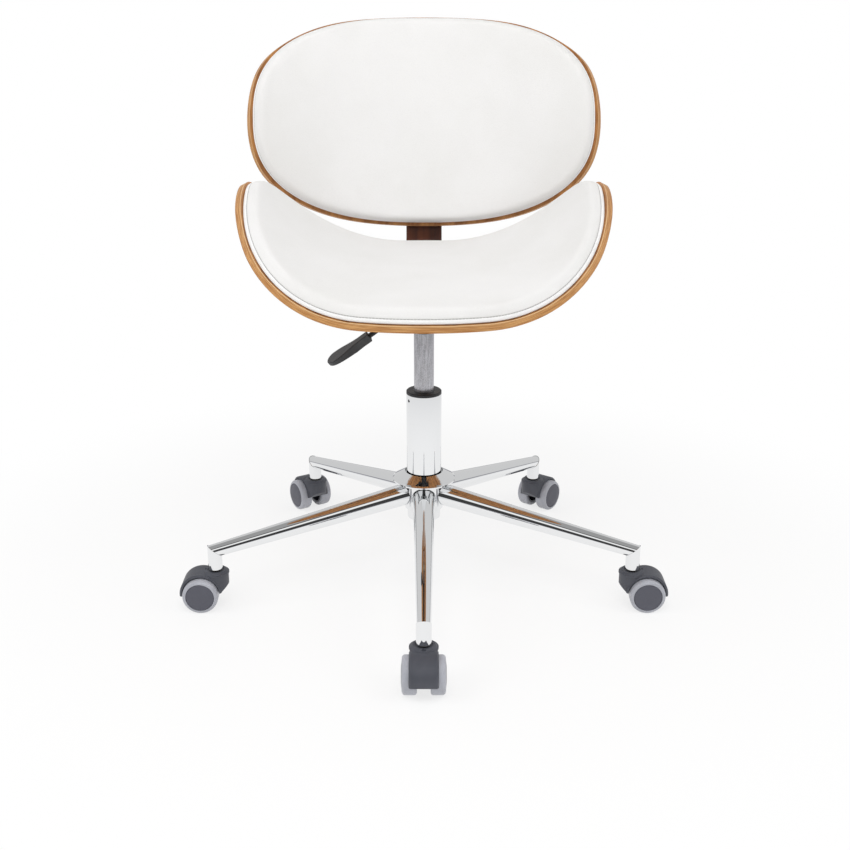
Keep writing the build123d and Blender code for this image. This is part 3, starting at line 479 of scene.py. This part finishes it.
# %% Metal finishes
CORNERS = ("front", "front_right", "rear_right", "rear_left", "front_left")
AXLES = [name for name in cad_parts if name.endswith("_caster_axle")]
CHROME = rgb(236, 237, 238)
CHROME_ROUGHNESS = (0.015, 0.05)
ARM_REACH = 0.308
ARM_ENDS_Z = (0.1401, 0.0851)
ARM_TAPER = 0.0232
ARM_TURN = 72
FRONT_TURN = -90
SMEARS = 14.0
DRAWN_LINES = (500, 500, 40)
FLECKS = 900.0


def tinted(colour, share, lift=0):
    """A colour made lighter or darker."""
    return tuple(min(1, share * part + lift) for part in colour[:3]) + (1,)


def polished(name, colour, low, high):
    metal = Finish(name)
    cloud = metal.noise(SMEARS, 4.0)
    metal.shade(Base_Color=colour, Metallic=1.0, Roughness=cloud * (high - low) + low)
    return metal


def chrome_bar(name, start, end, taper):
    """Chrome on a round bar from start to end that loses this much radius per metre."""
    metal = polished(name, CHROME, *CHROME_ROUGHNESS)
    along = (end - start).normalized()
    place = metal.vector("SUBTRACT", metal.stretched((1, 1, 1)), start)
    on_axis = metal.vector("PROJECT", place, along)
    outward = metal.vector("NORMALIZE", metal.vector("SUBTRACT", place, on_axis))
    return metal.shade(Normal=metal.vector("NORMALIZE", metal.vector("ADD", outward, along * taper)))


def drawn_steel(name, colour, rough):
    metal = Finish(name)
    streak = metal.noise(1.0, 4.0, metal.stretched(DRAWN_LINES))
    fleck = metal.noise(FLECKS, 3.0)
    shade = metal.mix((streak + fleck).rise(0.75, 1.25), tinted(colour, 0.6), colour)
    metal.shade(Base_Color=shade, Metallic=0.85, Roughness=rough + fleck * 0.12,
                Normal=metal.bump(streak, 0.00005))
    return metal


def powder_coat(name, colour):
    coat = Finish(name)
    grit = coat.noise(FLECKS, 2.0)
    coat.shade(Base_Color=coat.mix(grit, colour, tinted(colour, 1.25)),
               Roughness=0.42 + grit * 0.15, Normal=coat.bump(grit, 0.0001))
    return coat


dress(polished("chrome_plate", CHROME, *CHROME_ROUGHNESS), "base_hub", "hub_cover", "caster_sockets")
dress(chrome_bar("chrome_column", Vector((0, 0, 0)), Vector((0, 0, 1)), 0), "column_tube")
for number, corner in enumerate(CORNERS):
    turn = radians(ARM_TURN * number + FRONT_TURN)
    tip = Vector((ARM_REACH * cos(turn), ARM_REACH * sin(turn), ARM_ENDS_Z[1]))
    bar = chrome_bar("chrome_arm_" + corner, Vector((0, 0, ARM_ENDS_Z[0])), tip, ARM_TAPER)
    dress(bar, "base_arm_" + corner)
dress(polished("zinc_plate", rgb(196, 184, 152), 0.22, 0.38), "caster_stems", "stem_grip_rings",
      "plate_bolts", "spine_screws", "bearing_lower_washer", "bearing_balls", "bearing_upper_washer",
      "piston_rod", "rod_clip", "valve_button", *AXLES)
dress(drawn_steel("gas_spring_grey", rgb(226, 226, 230), 0.26), "gas_cylinder")
dress(powder_coat("black_powder_coat", rgb(30, 30, 31)), "seat_plate", "lever_rod")

# %% [markdown]
# ## Moulded plastic and tread
# Caster hoods and hubs are moulded in charcoal plastic with a fine spark-eroded grain; the tread is a
# softer blue-grey ring with a shine. The grain is smaller than a pixel of the picture, and a higher
# roughness could stand for it from afar. Close up the eye looks for the grain, so both are there.

# %% Plastic and rubber finishes
HOODS = [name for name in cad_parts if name.endswith("_caster_hood")]
HUBS = [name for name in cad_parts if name.endswith("_hub") and "_caster_" in name]
TYRES = [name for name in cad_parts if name.endswith("_tyre")]
WORN_PATCHES = 30.0


def moulded(name, colour, rough, grain):
    plastic = Finish(name)
    pits = plastic.noise(grain, 2.0)
    cloud = plastic.noise(WORN_PATCHES, 3.0)
    worn = tinted(colour, 1.35, 0.004)
    plastic.shade(Base_Color=plastic.mix(cloud.rise(0.45, 0.75) * 0.5, colour, worn),
                  Roughness=rough + pits * 0.14, Normal=plastic.bump(pits, 0.00008))
    return plastic


dress(moulded("charcoal_hood", rgb(72, 74, 82), 0.42, 1500), *HOODS)
dress(moulded("charcoal_hub", rgb(84, 85, 95), 0.42, 1500), *HUBS)
dress(moulded("blue_grey_tread", rgb(170, 172, 180), 0.22, 700), *TYRES)
dress(moulded("black_moulding", rgb(38, 38, 41), 0.4, 1200), "column_bush")
dress(moulded("grey_black_grip", rgb(58, 59, 61), 0.36, 1200), "lever_grip")
dress(moulded("buffer_rubber", rgb(24, 24, 24), 0.7, 600), "rod_buffer")

# %% [markdown]
# ## The two pads
# Each pad is foam under off-white coated cloth: a narrow band round the side, a seam, and one large
# panel that rolls over the rim towards the sitter. A cube with a subdivision surface could be pushed
# into shape, but the seam has to follow the rim exactly. So the pad is laid out flat, as the upholsterer
# cuts it: rings at a set distance from the rim, each at its height, then bent onto the plywood. After
# that a short cloth simulation lets the foam press the panel out.

# %% Outline of a pad
SOFT_GAP = 0.0003
SEAT_PAD_INSET = 0.0015
BACK_PAD_INSET = 0.0035
BACK_PAD_SHIFT = 0.0015
SEAT_PAD_THICKNESS = 0.0205
BACK_PAD_THICKNESS = 0.018
SIDE_POINTS = 44
RIM_POINTS = 4 * SIDE_POINTS
NET_START = RIM_POINTS - SIDE_POINTS // 2
DENSE_POINTS = 1440


def egg_outline(half_width, reach, fullness, across):
    """Rim of a flat-cut blank, evenly spaced: an egg of two half superellipses."""
    dense = []
    for step in range(DENSE_POINTS):
        angle = -pi / 2 + 2 * pi * step / DENSE_POINTS
        half = 1 if sin(angle) > 0 else 0
        x = half_width * copysign(abs(cos(angle)) ** (2 / fullness[half]), cos(angle))
        y = reach[half] * copysign(abs(sin(angle)) ** (2 / fullness[half]), sin(angle))
        dense.append(Vector((across(x, y), y)))
    return evenly(dense, RIM_POINTS)


def evenly(ring, count):
    """Points of a closed ring at equal distances along it."""
    closed = ring + ring[:1]
    runs = [(b - a).length for a, b in zip(closed, closed[1:])]
    pitch = sum(runs) / count
    points, walked, mark = [], 0.0, 0.0
    for start, end, run in zip(closed, closed[1:], runs):
        while mark < walked + run and len(points) < count:
            points.append(start.lerp(end, (mark - walked) / run))
            mark += pitch
        walked += run
    return points


def inward_normals(ring):
    """Unit vectors towards the inside at each point of an anticlockwise ring."""
    count = len(ring)
    normals = []
    for number in range(count):
        along = ring[(number + 1) % count] - ring[number - 1]
        normals.append(Vector((-along.y, along.x)).normalized())
    return normals


seat_pad_reach = [reach - SEAT_PAD_INSET for reach in SEAT_REACH]
back_pad_reach = [reach - BACK_PAD_INSET for reach in BACK_REACH]
seat_rim = egg_outline(SEAT_HALF_WIDTH - SEAT_PAD_INSET, seat_pad_reach, SEAT_FULLNESS,
                       lambda x, y: seat_across(x, y + SEAT_WIDEST_Y))
back_rim = egg_outline(BACK_HALF_WIDTH - BACK_PAD_INSET, back_pad_reach, BACK_FULLNESS, back_across)
rim_length = sum((a - b).length for a, b in zip(seat_rim, seat_rim[1:]))
print("rim of the seat pad:", round(rim_length, 3), "m")

# %% [markdown]
# ### From rings to a closed pad
# The section through the rim is a short list of steps: tucked in at the plywood, up the band, into
# the seam, out again and over the shoulder onto the panel. Shrinking rings could fill the panel too,
# but they meet in a star, and a star shows in soft light. So the panel is a net: four sides of the
# last ring, with threads stretched from side to side.

# %% Build a pad
SECTION_THICKNESS = 0.019
SEAM_STEP = 6
HELD_STEPS = SEAM_STEP + 3
SECTION = ((0.0020, 0.0), (0.0006, 0.0004), (0.0, 0.0015), (-0.0003, 0.0032), (-0.0001, 0.0047),
           (0.0001, 0.0052), (0.0010, 0.0062), (0.0002, 0.0072), (0.0004, 0.0082), (0.0009, 0.0100),
           (0.0019, 0.0127), (0.0036, 0.0157), (0.0064, 0.0178), (0.0100, 0.0188), (0.0150, 0.0190),
           (0.0220, 0.0190))


def net_inside(ring):
    """Points of a net that fills a ring, row by row, without those on the ring."""
    turned = ring[NET_START:] + ring[:NET_START + 1]
    near, right, far, left = (turned[SIDE_POINTS * side:SIDE_POINTS * (side + 1) + 1]
                              for side in range(4))
    far, left = far[::-1], left[::-1]
    points = []
    for row in range(1, SIDE_POINTS):
        back = row / SIDE_POINTS
        for column in range(1, SIDE_POINTS):
            aside = column / SIDE_POINTS
            threads = near[column].lerp(far[column], back) + left[row].lerp(right[row], aside)
            near_chord, far_chord = near[0].lerp(near[-1], aside), far[0].lerp(far[-1], aside)
            points.append(threads - near_chord.lerp(far_chord, back))
    return points


def net_faces(first_of_ring, first_inside):
    """Quads of that net: its border lies on a ring, the rest is counted from first_inside."""
    def number(column, row):
        if row == 0:
            step = column
        elif column == SIDE_POINTS:
            step = SIDE_POINTS + row
        elif row == SIDE_POINTS:
            step = 3 * SIDE_POINTS - column
        elif column == 0:
            step = 4 * SIDE_POINTS - row
        else:
            return first_inside + (row - 1) * (SIDE_POINTS - 1) + column - 1
        return first_of_ring + (NET_START + step) % RIM_POINTS

    cells = [(column, row) for row in range(SIDE_POINTS) for column in range(SIDE_POINTS)]
    return [(number(c, r), number(c + 1, r), number(c + 1, r + 1), number(c, r + 1)) for c, r in cells]


def band_faces():
    """Quads between the rings of the section, from the plywood up."""
    faces = []
    for ring in range(len(SECTION) - 1):
        low, high = ring * RIM_POINTS, (ring + 1) * RIM_POINTS
        for step in range(RIM_POINTS):
            after = (step + 1) % RIM_POINTS
            faces.append((low + step, low + after, high + after, high + step))
    return faces


def make_pad(name, rim, thickness, bend_on):
    """Closed pad on bent plywood; bend_on(across, along, height) places a point of the flat blank."""
    inward = inward_normals(rim)
    rings = [[point + normal * inset for point, normal in zip(rim, inward)] for inset, _ in SECTION]
    heights = [PLY + SOFT_GAP + height * thickness / SECTION_THICKNESS for _, height in SECTION]
    layers = list(zip(rings, heights))
    layers += [(net_inside(rings[0]), heights[0]), (net_inside(rings[-1]), heights[-1])]
    points = [bend_on(point.x, point.y, height) for layer, height in layers for point in layer]

    ring_points = len(SECTION) * RIM_POINTS
    net_points = (SIDE_POINTS - 1) ** 2
    underside = [face[::-1] for face in net_faces(0, ring_points)]
    panel = net_faces(ring_points - RIM_POINTS, ring_points + net_points)
    mesh = bpy.data.meshes.new(name)
    mesh.from_pydata(points, [], band_faces() + underside + panel)
    mark_seam(mesh, (rim[1] - rim[0]).length)

    pad = bpy.data.objects.new(name, mesh)
    bpy.context.scene.collection.objects.link(pad)
    hold = pad.vertex_groups.new(name="held")
    hold.add(range(HELD_STEPS * RIM_POINTS), 1.0, "REPLACE")
    hold.add(range(ring_points, ring_points + net_points), 1.0, "REPLACE")
    return pad


def mark_seam(mesh, pitch):
    """Store where the seam runs, what lies below it, and the distance along the rim."""
    seam, band, along = (mesh.attributes.new(name, "FLOAT", "POINT")
                         for name in ("seam", "band", "along"))
    for number in range(len(SECTION) * RIM_POINTS):
        ring = number // RIM_POINTS
        seam.data[number].value = 1.0 if ring == SEAM_STEP else 0.0
        band.data[number].value = 1.0 if ring < SEAM_STEP else 0.0
        along.data[number].value = pitch * abs(number % RIM_POINTS - RIM_POINTS / 2)


seat_pad = make_pad("seat_cushion", seat_rim, SEAT_PAD_THICKNESS,
                    lambda across, along, height: seat_point(across, along + SEAT_WIDEST_Y, height))
back_pad = make_pad("back_cushion", back_rim, BACK_PAD_THICKNESS,
                    lambda across, along, height: back_point(across, along + BACK_PAD_SHIFT, height))
print("points in the pads:", len(seat_pad.data.vertices), len(back_pad.data.vertices))

# %% [markdown]
# ### Let the foam press
# Cloth with pressure is how stuffed things get their tight, slightly uneven skin. The underside and
# the side up to just above the seam are pinned, and gravity is off. The simulated bulge is then scaled
# so that its highest point rises as far as firm foam would, and the result becomes the mesh.

# %% Cloth simulation
FOAM_PRESSURE = 2.0
FOAM_RISE = 0.003
CLOTH_FRAMES = 16
CLOTH_STRETCH = 30
CLOTH_BENDING = 2.0


def press_out(pad):
    before = [vertex.co.copy() for vertex in pad.data.vertices]
    cloth = pad.modifiers.new("foam", "CLOTH")
    cloth.settings.use_pressure = True
    cloth.settings.uniform_pressure_force = FOAM_PRESSURE
    cloth.settings.vertex_group_mass = "held"
    cloth.settings.effector_weights.gravity = 0.0
    cloth.settings.tension_stiffness = CLOTH_STRETCH
    cloth.settings.compression_stiffness = CLOTH_STRETCH
    cloth.settings.bending_stiffness = CLOTH_BENDING
    cloth.point_cache.frame_end = CLOTH_FRAMES
    scene = bpy.context.scene
    for number in range(1, CLOTH_FRAMES + 1):
        scene.frame_set(number)
    settled = pad.evaluated_get(bpy.context.evaluated_depsgraph_get()).data
    moves = [vertex.co - old for vertex, old in zip(settled.vertices, before)]
    pad.modifiers.remove(cloth)
    scene.frame_set(1)
    furthest = max(move.length for move in moves)
    for vertex, old, move in zip(pad.data.vertices, before, moves):
        vertex.co = old + move * (FOAM_RISE / furthest)
    return furthest


for pad in (seat_pad, back_pad):
    print(pad.name, "bulge before scaling:", round(1000 * press_out(pad), 2), "mm")
    pad.data.shade_smooth()
    smooth = pad.modifiers.new("smooth", "SUBSURF")
    smooth.levels = smooth.render_levels = 1

# %% [markdown]
# ### Coated cloth
# The cover is a white coated cloth with a fine leather grain: small cells with soft valleys between
# them. Noise alone would look like suede, so a Voronoi texture gives the cells, and painted shade
# darkens their valleys. The band below the seam faces the light and is painted a shade whiter than the
# panel.
# The seam is darker because light doesn't reach into it, and its thread shows as short stitches.

# %% Finish of the pads
STITCH_PITCH = 0.0042
GRAIN_CELLS = 620.0
panel_dull = rgb(234, 233, 231)
panel_light = rgb(239, 238, 237)
band_painted_light = rgb(250, 250, 249)
valley_painted_shade = rgb(205, 203, 200)
seam_grey = rgb(120, 118, 116)


def coated_cloth():
    cloth = Finish("off_white_leather")
    place = cloth.stretched((1, 1, 1))
    cells = cloth.node("ShaderNodeTexVoronoi", {"feature": "DISTANCE_TO_EDGE"},
                       {"Vector": place, "Scale": GRAIN_CELLS})
    valley = 1 - cells.rise(0.0, 0.18)
    cloud = cloth.noise(7.0, 4.0)
    seam, band, along = (cloth.node("ShaderNodeAttribute", {"attribute_name": name}, {}, "Fac")
                         for name in ("seam", "band", "along"))
    thread = abs(along.share_of(STITCH_PITCH) - 0.5).rise(0.08, 0.2)
    groove = seam.rise(0.1, 0.9)
    skin = cloth.mix(cloud.rise(0.3, 0.7), panel_dull, panel_light)
    # painted light: the band below the seam faces the light and is made whiter than the panel
    skin = cloth.mix(band, skin, band_painted_light)
    # painted shade: the valleys between the grain cells are darkened
    skin = cloth.mix(valley * 0.12, skin, valley_painted_shade)
    skin = cloth.mix(groove * (0.4 + thread * 0.25), skin, seam_grey)
    relief = cloth.bump(1 - valley * 0.6 - groove * thread * 0.8, 0.00018)
    cloth.shade(Base_Color=skin, Roughness=0.44 + valley * 0.12 + cloud * 0.08, Normal=relief)
    return cloth


cover = coated_cloth()
for pad, node in ((seat_pad, "seat_pad"), (back_pad, "back_pad")):
    pad.data.materials.append(cover.material)
    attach(pad, "seat")
    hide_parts(node)
print("pads sewn:", seat_pad.name, back_pad.name)

# %% [markdown]
# ## Hand over
# The last step compares the dressed chair with the CAD box and keeps both.

# %% Finish
visual_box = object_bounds()
grown = [[round(1000 * (new - old), 1) for new, old in zip(*pair)] for pair in zip(visual_box, cad_box)]
print("grown by, mm:", grown)
